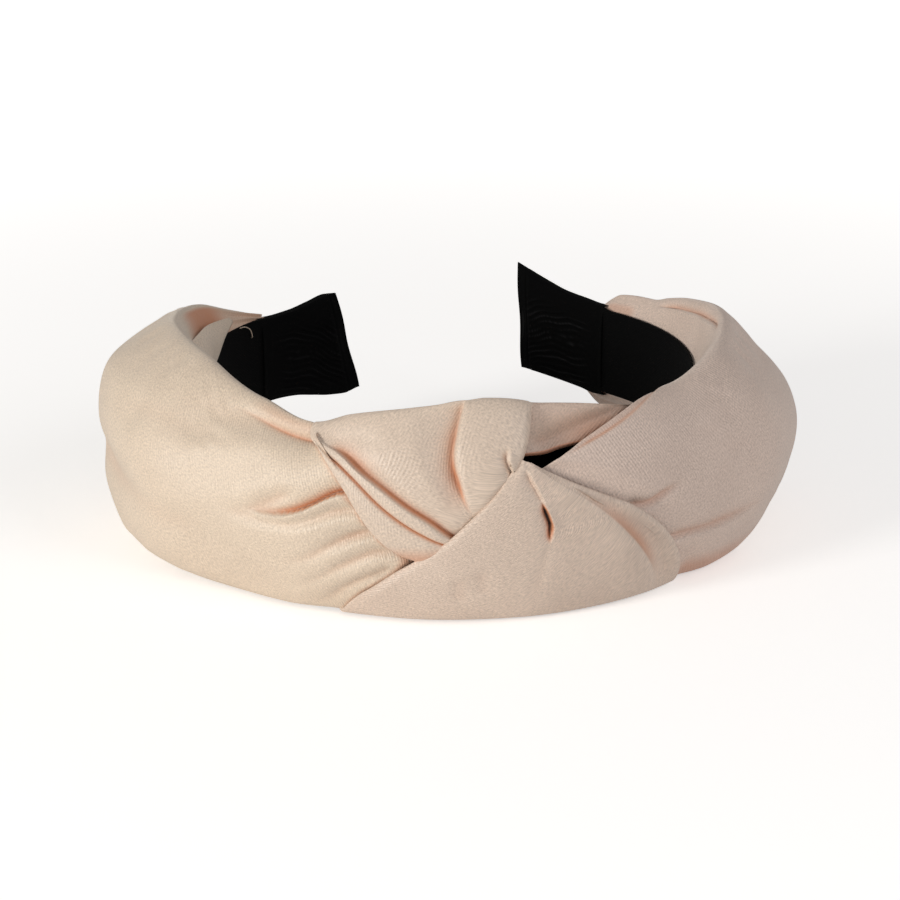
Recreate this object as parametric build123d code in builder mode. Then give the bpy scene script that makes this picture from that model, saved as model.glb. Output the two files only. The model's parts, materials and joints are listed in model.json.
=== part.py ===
from build123d import *

import os
from math import cos, degrees, radians, sin

# Knotted satin headband.
#
# A sprung plastic hoop is lined and covered with black ribbon, dressed with two satin panels that
# cross in a knot over the crown, and finished with a ribbed pocket over each tip. The headband lies
# on its lower edge: the knot is at the front (-Y) and the tips are at the back. Angles are measured
# round the hoop's upright axis, from the front, and are the same to the left and to the right.

# Hoop and its layers, in millimetres, from the head outwards
HEAD_RADIUS = 57.5  # inner face of the lining
RIBBON = 0.6  # lining ribbon and cover ribbon
SATIN = 0.6  # satin turned in behind the lining
CORE = 1.8  # plastic hoop
LINING_OUT = HEAD_RADIUS + RIBBON
CORE_IN = LINING_OUT + SATIN
CORE_OUT = CORE_IN + CORE
COVER_OUT = CORE_OUT + RIBBON
POCKET_OUT = CORE_OUT + 1.2
HINGE_RADIUS = (CORE_IN + CORE_OUT) / 2

# Heights
MID_Z = 27.5  # middle of the hoop above the surface that the headband lies on
CORE_HALF = 10.0
RIBBON_HALF = 11.0
POCKET_HALF = 11.4  # at the pocket's mouth
POCKET_TIP_HALF = 14.0  # at the sewn end, which flares
TALL = 70.0  # more than the headband's height

# Plan, in degrees round the hoop
AXIS_Y = 8.3  # the hoop's upright axis, which puts the origin under the middle of the headband
FLEX_ANGLE = 45.0  # where each arm flexes
CORE_TIP = 155.0
CORE_CORNER = 4.0  # corner radius in mm at the tip of the hoop
POCKET_MOUTH = 132.0
POCKET_TIP = 163.0
WING_START = 46.0
WING_END = 124.0
RISE_START_Y = AXIS_Y + 36.0  # an arm runs level up to here, then rises or drops to its tip
RISE = {"right": 4.4, "left": -1.6}
SIDE = {"right": 1, "left": -1}
TIP_X = {"right": 24.4, "left": 22.0}  # where each sewn end is, at the arm's middle height
TIP_LEAN = {"right": 0.0, "left": 0.19}  # slope of the sewn end away from the upright

# Flex joint
KNUCKLE_GAP = 0.1
RIBBON_GAP = 1.1  # degrees that each ribbon stops short of the flex line
SATIN_GAP = 0.6  # mm that the wing's front face stops short of the flex line
OPEN_SLOPE = 0.42  # slope of the wing's front face, steeper than the arm's opening of 20 degrees
RIM = 30.0  # further out from the flex line than the satin reaches

# Stitches and thread
THREAD = 0.5
STITCH_RUN = 2.4  # degrees
STITCH_COUNT = 5
STITCH_PITCH = 4.2
STITCH_HEIGHT = 0.35
TACK_ANGLES = (5.0, 6.2, 7.4)

# Outer shape of the satin: angle, lowest point, top, radius of the top fold, greatest radius
KNOT_STATIONS = (
    (-44.6, -1.0, 40.5, 65.0, 74.5),
    (-22.0, -1.0, 44.0, 65.0, 75.0),
    (0.0, -1.0, 48.0, 65.0, 75.5),
    (22.0, -1.0, 45.5, 65.0, 75.5),
    (44.6, -1.0, 42.0, 65.0, 74.5),
)
WING_STATIONS = {
    "left": (
        (WING_START, -1.0, 42.0, 64.0, 76.0),
        (65.0, -1.0, 49.0, 63.5, 82.0),
        (86.0, -1.0, 51.5, 64.0, 82.6),
        (106.0, 4.0, 48.0, 63.0, 77.0),
        (WING_END, 12.5, 41.5, 61.5, 66.5),
    ),
    "right": (
        (WING_START, -1.0, 43.0, 64.0, 76.0),
        (65.0, -1.0, 47.5, 64.5, 81.0),
        (86.0, -1.0, 49.0, 64.5, 82.4),
        (106.0, 6.0, 47.0, 63.0, 76.5),
        (WING_END, 16.0, 44.5, 61.5, 67.0),
    ),
}

# Front view of the knot, x across and z up: the folds that part one satin piece from the next
PINCH = (10.0, 35.0)
CORNER = (-15.0, 15.0)
LEFT_FOLD = [(-35.0, TALL), (-35.0, 43.0), (-30.0, 30.5), (-25.0, 22.5), CORNER]
CROSS_FOLD = [CORNER, (-7.0, 20.0), (4.0, 29.5), PINCH]
CORNER_FOLD = [CORNER, (-29.0, 4.5), (-30.0, -5.0)]
TOP_FOLD = [PINCH, (20.0, 36.0), (31.0, 39.0), (42.0, 44.0), (46.0, TALL)]
RIGHT_FOLD = [PINCH, (14.0, 33.0), (25.0, 28.5), (37.0, 21.0), (43.0, 13.5), (46.0, 3.0), (47.0, -5.0)]
OUTLINES = {
    "knot_upper_wrap": LEFT_FOLD + CROSS_FOLD[1:] + TOP_FOLD[1:],
    "knot_lower_wrap": CORNER_FOLD[::-1] + CROSS_FOLD[1:] + RIGHT_FOLD[1:],
    "right_wing_root": RIGHT_FOLD + [(70.0, -5.0), (70.0, TALL)] + TOP_FOLD[:0:-1],
    "left_wing_root": LEFT_FOLD + CORNER_FOLD[1:] + [(-70.0, -5.0), (-70.0, TALL)],
}


def plan_point(radius, angle):
    """Plan position at a radius from the hoop's axis and an angle from the front, towards +X."""
    return (radius * sin(radians(angle)), AXIS_Y - radius * cos(radians(angle)))


def sector(r_in, r_out, start, end):
    """Closed outline between two radii and two angles, in plan."""
    middle = (start + end) / 2
    with BuildLine() as outline:
        ThreePointArc(*(plan_point(r_out, a) for a in (start, middle, end)))
        Line(plan_point(r_out, end), plan_point(r_in, end))
        ThreePointArc(*(plan_point(r_in, a) for a in (end, middle, start)))
        Line(plan_point(r_in, start), plan_point(r_out, start))
    return outline.edges()


def crown_strip(r_in, r_out, half_angle, half_width):
    """Level strip across the crown."""
    with BuildPart() as strip:
        with BuildSketch(Plane.XY.offset(MID_Z - half_width)):
            make_face(sector(r_in, r_out, -half_angle, half_angle))
        extrude(amount=2 * half_width)
    return strip


def arm_mid_z(side, y):
    """Height of the middle of an arm at a place along Y."""
    tip_y = plan_point(HINGE_RADIUS, CORE_TIP)[1]
    return MID_Z + RISE[side] * max(0.0, y - RISE_START_Y) / (tip_y - RISE_START_Y)


def arm_strip(side, r_in, r_out, start, end, half_start, half_end):
    """Strip along one arm, cut to the side view of an arm that rises to its tip."""
    sign = SIDE[side]
    y_start = plan_point(r_out, start)[1]
    y_end = plan_point(r_out, end)[1]
    stops = [(y_start - 10, half_start), (max(y_start, RISE_START_Y), half_start), (y_end, half_end)]
    lower = [(y, arm_mid_z(side, y) - half) for y, half in stops]
    upper = [(y, arm_mid_z(side, y) + half) for y, half in stops]
    with BuildPart() as strip:
        with BuildSketch():
            make_face(sector(r_in, r_out, sign * start, sign * end))
        extrude(amount=TALL)
        with BuildSketch(Plane.YZ):
            with BuildLine():
                Polyline(*lower, *reversed(upper), close=True)
            make_face()
        extrude(amount=sign * 2 * POCKET_OUT, mode=Mode.INTERSECT)
    return strip


def satin_loft(sign, stations, mid_z_of):
    """Sleeve of satin round the hoop, lofted through sections on upright planes, open at the lining."""
    with BuildPart() as sleeve:
        for angle, low, top, r_top, r_out in stations:
            x, y = plan_point(1.0, sign * angle)
            radial = Vector(x, y - AXIS_Y, 0)
            section = Plane(origin=(0, AXIS_Y, 0), x_dir=radial, z_dir=radial.cross(Vector(0, 0, 1)))
            mid = mid_z_of(plan_point(HINGE_RADIUS, angle)[1])
            inner_low = (HEAD_RADIUS, mid - CORE_HALF)
            inner_top = (HEAD_RADIUS, mid + CORE_HALF)
            bulge = r_out - r_top
            outer = [
                inner_top,
                (r_top, top),
                (r_top + 0.68 * bulge, top - 0.18 * (top - low)),
                (r_out, low + 0.48 * (top - low)),
                (r_out - 0.20 * bulge, low + 0.17 * (top - low)),
                (r_top + 0.36 * bulge, low),
                inner_low,
            ]
            with BuildSketch(section):
                with BuildLine():
                    Spline(*outer)
                    Line(inner_low, inner_top)
                make_face()
        loft()
        split(bisect_by=Plane.XY, keep=Keep.TOP)
        with BuildSketch():
            with Locations((0, AXIS_Y)):
                Circle(LINING_OUT)
        extrude(amount=TALL, mode=Mode.SUBTRACT)
    return sleeve


def front_piece(whole, outline):
    """The part of the knot that lies behind an outline drawn in the front view."""
    with BuildPart() as piece:
        add(whole.part)
        with BuildSketch(Plane.XZ):
            with BuildLine():
                Polyline(*outline, close=True)
            make_face()
        extrude(amount=2 * POCKET_OUT, mode=Mode.INTERSECT)
    return piece


def make_core_crown():
    """Hoop over the crown, with a round bead at each end for an arm to turn on."""
    with BuildPart() as core:
        with BuildSketch(Plane.XY.offset(MID_Z - CORE_HALF)):
            make_face(sector(CORE_IN, CORE_OUT, -FLEX_ANGLE, FLEX_ANGLE))
            with Locations(plan_point(HINGE_RADIUS, FLEX_ANGLE), plan_point(HINGE_RADIUS, -FLEX_ANGLE)):
                Circle(CORE / 2)
        extrude(amount=2 * CORE_HALF)
    return core


def make_tack_thread():
    """Turns of thread round the hoop under the knot, which hold the pinch of the satin."""
    turn = degrees(THREAD / HINGE_RADIUS)
    with BuildPart() as thread:
        for angle in TACK_ANGLES:
            with BuildSketch(Plane.XY.offset(MID_Z - RIBBON_HALF - THREAD)):
                make_face(sector(CORE_IN - THREAD, COVER_OUT + THREAD, angle - turn / 2, angle + turn / 2))
            extrude(amount=2 * (RIBBON_HALF + THREAD))
            with BuildSketch(Plane.XY.offset(MID_Z - RIBBON_HALF)):
                make_face(sector(CORE_IN, COVER_OUT, angle - turn, angle + turn))
            extrude(amount=2 * RIBBON_HALF, mode=Mode.SUBTRACT)
    return thread


def without(whole, *inner_pieces):
    """A satin form with room cut in it for the pieces that it wraps."""
    with BuildPart() as rest:
        add(whole.part)
        for inner in inner_pieces:
            add(inner.part, mode=Mode.SUBTRACT)
    return rest


def make_core_arm(side):
    """Hoop along one arm: a socket at the flex line, rounded corners at the tip."""
    strip = arm_strip(side, CORE_IN, CORE_OUT, FLEX_ANGLE, CORE_TIP, CORE_HALF, CORE_HALF)
    with BuildPart() as core:
        add(strip.part)
        corners = core.edges().filter_by(lambda edge: abs(edge.length - CORE) < 0.05)
        fillet(corners.sort_by(Axis.Y)[-2:], radius=CORE_CORNER)
        with BuildSketch():
            with Locations(plan_point(HINGE_RADIUS, SIDE[side] * FLEX_ANGLE)):
                Circle(CORE / 2 + KNUCKLE_GAP)
        extrude(amount=TALL, mode=Mode.SUBTRACT)
    return core


def make_ribbon_arm(side, r_in):
    """Ribbon along one arm, from the flex line to the pocket."""
    start = FLEX_ANGLE + RIBBON_GAP
    return arm_strip(side, r_in, r_in + RIBBON, start, POCKET_MOUTH, RIBBON_HALF, RIBBON_HALF)


def make_pocket(side, core_arm):
    """Ribbed pocket that closes over the tip of the hoop, sewn flat at its end."""
    whole = arm_strip(
        side, HEAD_RADIUS, POCKET_OUT, POCKET_MOUTH, POCKET_TIP, POCKET_HALF, POCKET_TIP_HALF
    )
    sign = SIDE[side]
    z_mid = MID_Z + RISE[side]
    x_floor = sign * (TIP_X[side] - TIP_LEAN[side] * z_mid)
    x_ceiling = sign * (TIP_X[side] + TIP_LEAN[side] * (TALL - z_mid))
    with BuildPart() as pocket:
        add(whole.part)
        add(core_arm.part, mode=Mode.SUBTRACT)
        with BuildSketch(Plane.XZ):
            with BuildLine():
                Polyline((0, 0), (x_floor, 0), (x_ceiling, TALL), (0, TALL), close=True)
            make_face()
        extrude(amount=-2 * POCKET_OUT, mode=Mode.SUBTRACT)
    return pocket


def make_stitches(side):
    """Row of stitches that run from the pocket's mouth onto the ribbon."""
    sign = SIDE[side]
    z_mid = arm_mid_z(side, plan_point(COVER_OUT, POCKET_MOUTH)[1])
    z_first = z_mid - (STITCH_COUNT - 1) / 2 * STITCH_PITCH - THREAD / 2
    outline = sector(
        COVER_OUT, COVER_OUT + STITCH_HEIGHT, sign * (POCKET_MOUTH - STITCH_RUN), sign * POCKET_MOUTH
    )
    with BuildPart() as stitches:
        for k in range(STITCH_COUNT):
            with BuildSketch(Plane.XY.offset(z_first + k * STITCH_PITCH)):
                make_face(outline)
            extrude(amount=THREAD)
    return stitches


def make_wing(side, *inner_pieces):
    """Puffed satin round one arm. Its front face leans away from the knot, so that the arm can open."""
    sign = SIDE[side]
    whole = without(
        satin_loft(sign, WING_STATIONS[side], lambda y: arm_mid_z(side, y)), *inner_pieces
    )
    flex = plan_point(HINGE_RADIUS, sign * FLEX_ANGLE)
    outwards = (sign * sin(radians(FLEX_ANGLE)), -cos(radians(FLEX_ANGLE)), 0)
    gap_at_rim = SATIN_GAP + RIM * OPEN_SLOPE
    with BuildPart() as wing:
        add(whole.part)
        with BuildSketch(Plane(origin=(*flex, 0), x_dir=outwards)):
            with BuildLine():
                Polyline(
                    (-RIM, -RIM * sign),
                    (-RIM, SATIN_GAP * sign),
                    (0, SATIN_GAP * sign),
                    (RIM, gap_at_rim * sign),
                    (RIM, -RIM * sign),
                    close=True,
                )
            make_face()
        extrude(amount=TALL, mode=Mode.SUBTRACT)
    return wing


def write(piece, name):
    """Label a finished piece and write it under its node's name."""
    piece.part.label = name
    export_step(piece.part, f"parts/{name}.step")


os.makedirs("parts", exist_ok=True)

# Crown
ribbon_angle = FLEX_ANGLE - RIBBON_GAP
core_crown = make_core_crown()
lining_crown = crown_strip(HEAD_RADIUS, LINING_OUT, ribbon_angle, RIBBON_HALF)
cover_crown = crown_strip(CORE_OUT, COVER_OUT, ribbon_angle, RIBBON_HALF)
knot_tack_thread = make_tack_thread()
knot = without(
    satin_loft(1, KNOT_STATIONS, lambda y: MID_Z), core_crown, cover_crown, knot_tack_thread
)

write(core_crown, "core_crown")
write(lining_crown, "lining_crown")
write(cover_crown, "cover_crown")
write(knot_tack_thread, "knot_tack_thread")
for name, outline in OUTLINES.items():
    write(front_piece(knot, outline), name)

# Arms
for side in SIDE:
    core_arm = make_core_arm(side)
    lining_arm = make_ribbon_arm(side, HEAD_RADIUS)
    cover_arm = make_ribbon_arm(side, CORE_OUT)
    write(core_arm, f"core_{side}_arm")
    write(lining_arm, f"lining_{side}_arm")
    write(cover_arm, f"cover_{side}_arm")
    write(make_pocket(side, core_arm), f"end_pocket_{side}")
    write(make_stitches(side), f"pocket_stitches_{side}")
    write(make_wing(side, core_arm, cover_arm), f"{side}_wing")
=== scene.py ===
import json
from math import cos, pi, radians, sin

import bpy
import numpy as np
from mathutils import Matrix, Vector

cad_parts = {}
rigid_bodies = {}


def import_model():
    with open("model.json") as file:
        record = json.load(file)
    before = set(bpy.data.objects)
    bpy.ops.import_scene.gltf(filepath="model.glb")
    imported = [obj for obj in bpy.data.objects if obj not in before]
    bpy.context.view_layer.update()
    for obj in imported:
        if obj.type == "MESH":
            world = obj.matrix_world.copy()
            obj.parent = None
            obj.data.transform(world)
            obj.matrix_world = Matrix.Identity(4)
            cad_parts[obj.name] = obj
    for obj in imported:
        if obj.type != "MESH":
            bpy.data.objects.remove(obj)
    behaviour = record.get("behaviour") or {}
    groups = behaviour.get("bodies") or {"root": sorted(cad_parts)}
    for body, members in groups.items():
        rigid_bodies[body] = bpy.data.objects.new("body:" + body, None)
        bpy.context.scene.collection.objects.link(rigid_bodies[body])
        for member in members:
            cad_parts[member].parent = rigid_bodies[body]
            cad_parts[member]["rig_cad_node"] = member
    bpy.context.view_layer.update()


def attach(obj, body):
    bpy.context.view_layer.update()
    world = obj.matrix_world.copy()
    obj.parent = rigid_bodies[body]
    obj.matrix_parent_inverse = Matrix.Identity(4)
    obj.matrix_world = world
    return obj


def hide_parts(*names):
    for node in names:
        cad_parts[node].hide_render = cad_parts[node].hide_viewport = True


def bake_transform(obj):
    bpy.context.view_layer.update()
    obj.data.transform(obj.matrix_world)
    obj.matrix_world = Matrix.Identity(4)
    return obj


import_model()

# ---------------------------------------------------------------------------------------------
# The hoop, in millimetres and degrees. Angles go round the hoop's upright axis from the front,
# and the right arm's are positive.
AXIS_Y = 8.3
MID_Z = 27.5
HINGE_RADIUS = 59.6
TUCK_RADIUS = 58.3  # where the satin is turned in behind the lining
TUCK_HALF = 10  # and how far over and under the hoop's middle that is
RISE = {"left": -1.6, "right": 4.4}  # how far the middle of each tip is over MID_Z
RISE_START_Y = 44.3
TIP_FROM_BACK = 25
FLEX_START, FLEX_END = 40, 50  # the lining bridges run across a flex line between these angles
SIGN = {"left": -1, "right": 1}
FLOOR_GAP = .25  # the cloth is kept this far above the floor

# The satin sleeve's section: angle, lowest point, top, radius of the top fold, greatest radius
STATIONS = np.array([
    (-134, 15.6, 38.3, 60.2, 61.5), (-124, 13.0, 41.6, 61.5, 66.5), (-113, 8.0, 46.0, 62.5, 74.0),
    (-104, 3.6, 48.2, 63.0, 77.6), (-94, .4, 49.8, 63.6, 81.2), (-84, -1.0, 50.8, 64.0, 82.8),
    (-65, -1.0, 49.3, 63.5, 82.0), (-45, -1.0, 44.2, 64.0, 76.0), (-32, -1.0, 42.7, 65.0, 75.0),
    (-24, -1.0, 45.4, 65.0, 75.0), (-8, -1.0, 48.0, 65.0, 75.3), (-2, -1.0, 49.2, 65.0, 75.5),
    (3, -1.0, 48.9, 65.0, 75.5), (12, -1.0, 47.3, 65.0, 75.5), (22, -1.0, 46.6, 65.0, 75.3),
    (36, -1.0, 45.2, 64.5, 75.3), (45, -1.0, 44.6, 64.0, 76.2), (65, -1.0, 48.0, 64.5, 81.2),
    (86, -1.0, 49.3, 64.5, 82.6), (106, 6.0, 46.6, 63.0, 76.5), (113, 9.0, 44.8, 62.6, 73.0),
    (118, 10.8, 43.2, 62.3, 70.5), (124, 11.4, 42.8, 62.0, 68.0), (128.5, 11.2, 42.1, 61.8, 66.0),
    (131, 11.2, 40.5, 61.4, 64.5), (133.5, 11.8, 38.2, 60.4, 62.6), (138, 16.0, 37.0, 59.6, 61.0)])
# Places round the section, from the tuck at the top (0) over the outside to the one below (1)
PLACES = np.array([0, .15, .31, .5, .66, .78, 1.0])
AROUND = 105.0  # the section's length
ALONG = 75.0 * pi / 180  # millimetres a degree


def smooth_curve(x, y, at, level=False):
    """A smooth curve through points; level keeps it between its neighbours."""
    x, y = np.asarray(x, float), np.asarray(y, float)
    y = y[:, None] if y.ndim == 1 else y
    gap = np.diff(x)[:, None]
    slope = np.diff(y, axis=0) / gap
    a, b = slope[:-1], slope[1:]
    if level:
        both = np.where(a * b > 0, 2 * a * b / np.where(a + b == 0, 1, a + b), 0)
    else:
        both = (a * gap[1:] + b * gap[:-1]) / (gap[1:] + gap[:-1])
    m = np.concatenate([slope[:1], both, slope[-1:]])
    at = np.clip(np.asarray(at, float), x[0], x[-1])
    i = np.clip(np.searchsorted(x, at, side="right") - 1, 0, len(x) - 2)
    t, g = ((at - x[i]) / np.diff(x)[i])[..., None], np.diff(x)[i][..., None]
    out = ((2 * t**3 - 3 * t**2 + 1) * y[i] + (t**3 - 2 * t**2 + t) * g * m[i]
           + (3 * t**2 - 2 * t**3) * y[i + 1] + (t**3 - t**2) * g * m[i + 1])
    return out[..., 0] if out.shape[-1] == 1 else out


def level_curve(points, at):
    """A smooth curve through (x, y) points that doesn't swing past them."""
    p = np.array(points, float)
    return smooth_curve(p[:, 0], p[:, 1], at, level=True)


def ramp(x, a, b):
    """0 up to a, 1 from b, and smooth between them."""
    t = np.clip((x - a) / (b - a), 0, 1)
    return t * t * (3 - 2 * t)


def arm_mid(angle):
    """Height of the hoop's middle, which rises or drops towards each tip."""
    y = AXIS_Y - HINGE_RADIUS * np.cos(np.radians(angle))
    tip = AXIS_Y + HINGE_RADIUS * cos(radians(TIP_FROM_BACK))
    rise = np.where(np.asarray(angle) > 0, RISE["right"], RISE["left"])
    return MID_Z + rise * np.clip((y - RISE_START_Y) / (tip - RISE_START_Y), 0, None)


def polar(radius, angle, z):
    """Points from their radius and angle about the hoop's axis, and their height."""
    a = np.radians(angle)
    return np.stack(np.broadcast_arrays(radius * np.sin(a), AXIS_Y - radius * np.cos(a), z), -1)


PLACE_AT = np.linspace(0, 1, 1601)
PLACE_SHARE = smooth_curve(PLACES, np.eye(len(PLACES)), PLACE_AT)


def sleeve(angle, place):
    """A point on the smooth sleeve, blended from the section's points at PLACES."""
    low, top, r_top, r_out = np.moveaxis(smooth_curve(STATIONS[:, 0], STATIONS[:, 1:], angle, True), -1, 0)
    high, deep, mid, tuck = top - low, r_out - r_top, arm_mid(angle), 0 * low + TUCK_RADIUS
    r = (tuck, r_top, r_top + .68 * deep, r_out, r_out - .2 * deep, r_top + .36 * deep, tuck)
    z = (mid + TUCK_HALF, top, top - .18 * high, low + .48 * high, low + .17 * high, low, mid - TUCK_HALF)
    share = [np.interp(place, PLACE_AT, PLACE_SHARE[:, k]) for k in range(len(PLACES))]
    return polar(sum(s * q for s, q in zip(share, r)), angle, sum(s * q for s, q in zip(share, z)))


def skin(spot, height):
    """A point at a height over the sleeve, kept above the floor."""
    angle, place, height = np.broadcast_arrays(*spot, height)
    turn, slide = .05, .002  # short moves each way, which give the sleeve's slope
    across = sleeve(angle, np.clip(place + slide, 0, 1)) - sleeve(angle, np.clip(place - slide, 0, 1))
    n = np.cross(across, sleeve(angle + turn, place) - sleeve(angle - turn, place))
    n /= np.linalg.norm(n, axis=-1, keepdims=True) + 1e-12
    q = sleeve(angle, place) + n * height[..., None]
    q[..., 2] = FLOOR_GAP + np.logaddexp(0, q[..., 2] - FLOOR_GAP)
    return q


# ---------------------------------------------------------------------------------------------
# Folds. A spot is the angle and place of each point of a grid, and a line is drawn through
# (angle, place) points. Heights, depths and widths are in mm.
def line(points, count=60):
    """A smooth line through (angle, place) points, evenly spaced by length."""
    p = np.array(points, float)
    mm = p * (ALONG, AROUND)
    d = np.concatenate([[0], np.cumsum(np.linalg.norm(np.diff(mm, axis=0), axis=1))])
    return smooth_curve(d, p, np.linspace(0, d[-1], count))


def near(spot, points):
    """Signed distance to a line in mm, plus on its left, and how far along the line, 0 to 1."""
    angle, place = spot
    c = line(points, 48) * (ALONG, AROUND)
    q = np.stack([angle * ALONG, place * AROUND], -1)
    a, d = c[:-1], np.diff(c, axis=0)
    best = np.full(angle.shape, np.inf)
    side, along = np.zeros(angle.shape), np.zeros(angle.shape)
    for k in range(len(a)):
        w = q - a[k]
        t = np.clip((w @ d[k]) / (d[k] @ d[k]), 0, 1)
        g = w - t[..., None] * d[k]
        dist = np.hypot(g[..., 0], g[..., 1])
        cross = d[k][0] * w[..., 1] - d[k][1] * w[..., 0]
        nearer = dist < best
        best = np.where(nearer, dist, best)
        side = np.where(nearer, np.sign(cross), side)
        along = np.where(nearer, (k + t) / len(a), along)
    return best * side, along


def fade(along, start, end):
    """1 along a fold, dropping to 0 over the share start at its beginning and end at its end."""
    one = np.ones_like(along)
    return (ramp(along, 0, start) if start else one) * (1 - ramp(along, 1 - end, 1) if end else one)


def valley(spot, points, depth, width, start=0.0, end=.6, sharp=0.0):
    """A furrow: rounded, or creased at the bottom when sharp is 1."""
    d, t = near(spot, points)
    d = np.abs(d)
    shape = (1 - sharp) * np.exp(-(d / width) ** 2) + sharp * np.exp(-d / width)
    return -depth * shape * fade(t, start, end)


def step(spot, points, rise, drop, w_high, w_low, start=0.0, end=.6, edge=.5):
    """A pleat: the cloth on the line's left is folded over and stands up, and on its right it
    starts low under the fold and comes back up."""
    d, t = near(spot, points)
    blend = ramp(d, -edge, edge)
    high = rise * np.exp(-(np.maximum(d, 0) / w_high) ** 1.5)
    low = -drop * np.exp(-np.maximum(-d, 0) / w_low)
    return (blend * high + (1 - blend) * low) * fade(t, start, end)


def mark(spot, points, deep, wide, start=.1, end=.3, side=0):
    """A line of painted shade in a fold, for the attribute of painted light; side keeps it to the line's left
    or right.
    """
    d, t = near(spot, points)
    kept = 1.0 if not side else ramp(side * d, -.35, .25)
    return deep * np.exp(-(d / wide) ** 2) * fade(t, start, end) * kept


def bump(spot, rise, angle, place, wide, tall):
    """A round swelling, or a dent where rise is negative: wide in degrees, tall as a share."""
    return rise * np.exp(-((spot[0] - angle) / wide) ** 2 - ((spot[1] - place) / tall) ** 2)


def soft_noise(spot, size, seed):
    """Gentle unevenness, repeatable."""
    rng = np.random.default_rng(seed)
    waves = 7
    total = 0
    for _ in range(waves):
        turn, phase, k = rng.uniform(0, pi), rng.uniform(0, 2 * pi), 2 * pi / (size * rng.uniform(.7, 1.6))
        total = total + np.sin(k * (.55 * cos(turn) * spot[0] * ALONG + sin(turn) * spot[1] * AROUND) + phase)
    return total / waves


def gathers(place):
    """Small even waves where a wing is drawn together at its end."""
    pitch = 5.5
    return np.sin(place * AROUND * 2 * pi / pitch)


def strip(rails, counts, rows):
    """The spots of a grid that runs along rails, with a number of columns between each two, and
    where each column lies across the rails."""
    lines = [line(r, rows) for r in rails]
    cols, at = [], []
    for k, n in enumerate(counts):
        t = np.linspace(0, 1, n + 1)[:-1]
        cols += [lines[k] * (1 - x) + lines[k + 1] * x for x in t]
        at += list(k + t)
    cols.append(lines[-1])
    at.append(len(counts))
    g = np.stack(cols, 1)
    return (g[..., 0], g[..., 1]), np.array(at, float)


def profile(rows, table, at):
    """Height over a strip: table gives, at shares of its length, the height across its rails."""
    s = np.linspace(0, 1, rows)
    across = np.stack([smooth_curve(*zip(*t), at, level=True) for _, t in table])
    return smooth_curve([k for k, _ in table], across, s, level=True)


# ---------------------------------------------------------------------------------------------
# Grids to meshes
ROLL_COLUMNS = 11  # what rolled() adds at an edge


def faces(rows, cols, around=False):
    """The corners of a grid's faces; around joins its last column to its first."""
    index = np.arange(rows * cols).reshape(rows, cols)
    if around:
        index = np.concatenate([index, index[:, :1]], 1)
    return np.stack([index[:-1, :-1], index[1:, :-1], index[1:, 1:], index[:-1, 1:]], -1).reshape(-1, 4)


def mesh(name, p, uv, material, crease=None, around=False):
    """A grid of points (mm) as a smooth mesh with its cloth coordinates in mm."""
    rows, cols = p.shape[:2]
    quads = faces(rows, cols, around)
    crease = np.zeros(rows * cols) if crease is None else crease.reshape(-1)
    me = bpy.data.meshes.new(name)
    me.vertices.add(rows * cols)
    me.vertices.foreach_set("co", (p.reshape(-1) / 1000).astype(np.float32))
    me.loops.add(quads.size)
    me.loops.foreach_set("vertex_index", quads.reshape(-1).astype(np.int32))
    me.polygons.add(len(quads))
    me.polygons.foreach_set("loop_start", np.arange(0, quads.size, 4, dtype=np.int32))
    me.polygons.foreach_set("use_smooth", np.ones(len(quads), bool))
    me.update(calc_edges=True)
    flat = uv.reshape(-1, 2)[quads.reshape(-1)]
    me.uv_layers.new(name="cloth").data.foreach_set("uv", flat.reshape(-1).astype(np.float32))
    # Painted light for the materials: painted shade in the satin's folds, and a painted highlight on the
    # knit's rib crests.
    layer = me.attributes.new("crease", "FLOAT", "POINT")
    layer.data.foreach_set("value", crease.astype(np.float32))
    me.validate()
    me.materials.append(material)
    obj = bpy.data.objects.new(name, me)
    bpy.context.scene.collection.objects.link(obj)
    return obj


def lengths(p):
    """Cloth coordinates of a grid, from its own lengths."""
    def run(axis):
        edges = np.linalg.norm(np.diff(p, axis=axis), axis=-1)
        return np.concatenate([0 * edges.take([0], axis), np.cumsum(edges, axis)], axis)

    return np.stack([run(0), run(1)], -1)


def satin_piece(name, grid, material, crease=None, uv=None):
    """A grid as a piece of champagne satin."""
    return mesh(name, grid, lengths(grid) if uv is None else uv, material, crease)


def rolled(p, radius, reach=2.0, face=0):
    """Adds a rolled edge before the first column of a grid: the cloth turns over and runs back.
    face is 1 or -1 where the side that is seen can't be told from the edge's place."""
    run = np.gradient(p[:, 0], axis=0)
    run /= np.linalg.norm(run, axis=-1, keepdims=True) + 1e-9
    out = p[:, 0] - p[:, 2]
    out -= (out * run).sum(-1, keepdims=True) * run
    out /= np.linalg.norm(out, axis=-1, keepdims=True) + 1e-9
    n = np.cross(run, out)
    centre = np.array([0, AXIS_Y, MID_Z])
    n *= face or np.sign(np.median(((p[:, 0] - centre) * n).sum(-1)))
    back = (.3, .65, 1)  # the columns that run back, as shares of reach
    turn = np.linspace(0, pi, ROLL_COLUMNS - len(back) + 1)[1:]
    radius = np.broadcast_to(np.asarray(radius, float).reshape(-1, 1), (len(p), 1))
    reach = reach * np.clip(np.abs(radius) / .3, .03, 1)  # hardly any where the edge isn't rolled
    cols = [p[:, 0] + out * radius * sin(a) - n * radius * (1 - cos(a)) for a in turn]
    cols += [p[:, 0] - out * d - n * (2 * radius + .15 * d) for d in (reach * k for k in back)]
    return np.concatenate([np.stack(cols[::-1], 1), p], 1)


def rolled_both(p, first, last):
    """Rolls both side edges of a grid, with a radius for each."""
    return rolled(rolled(p, first)[:, ::-1], last)[:, ::-1]


def padded(values, grid, mode="edge"):
    """Values of a plain grid, over the same grid rolled at its first edge or at both."""
    missing = grid.shape[1] - values.shape[1]
    left = missing // 2 if missing > ROLL_COLUMNS else missing
    return np.pad(values, ((0, 0), (left, missing - left)), mode=mode)


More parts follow.
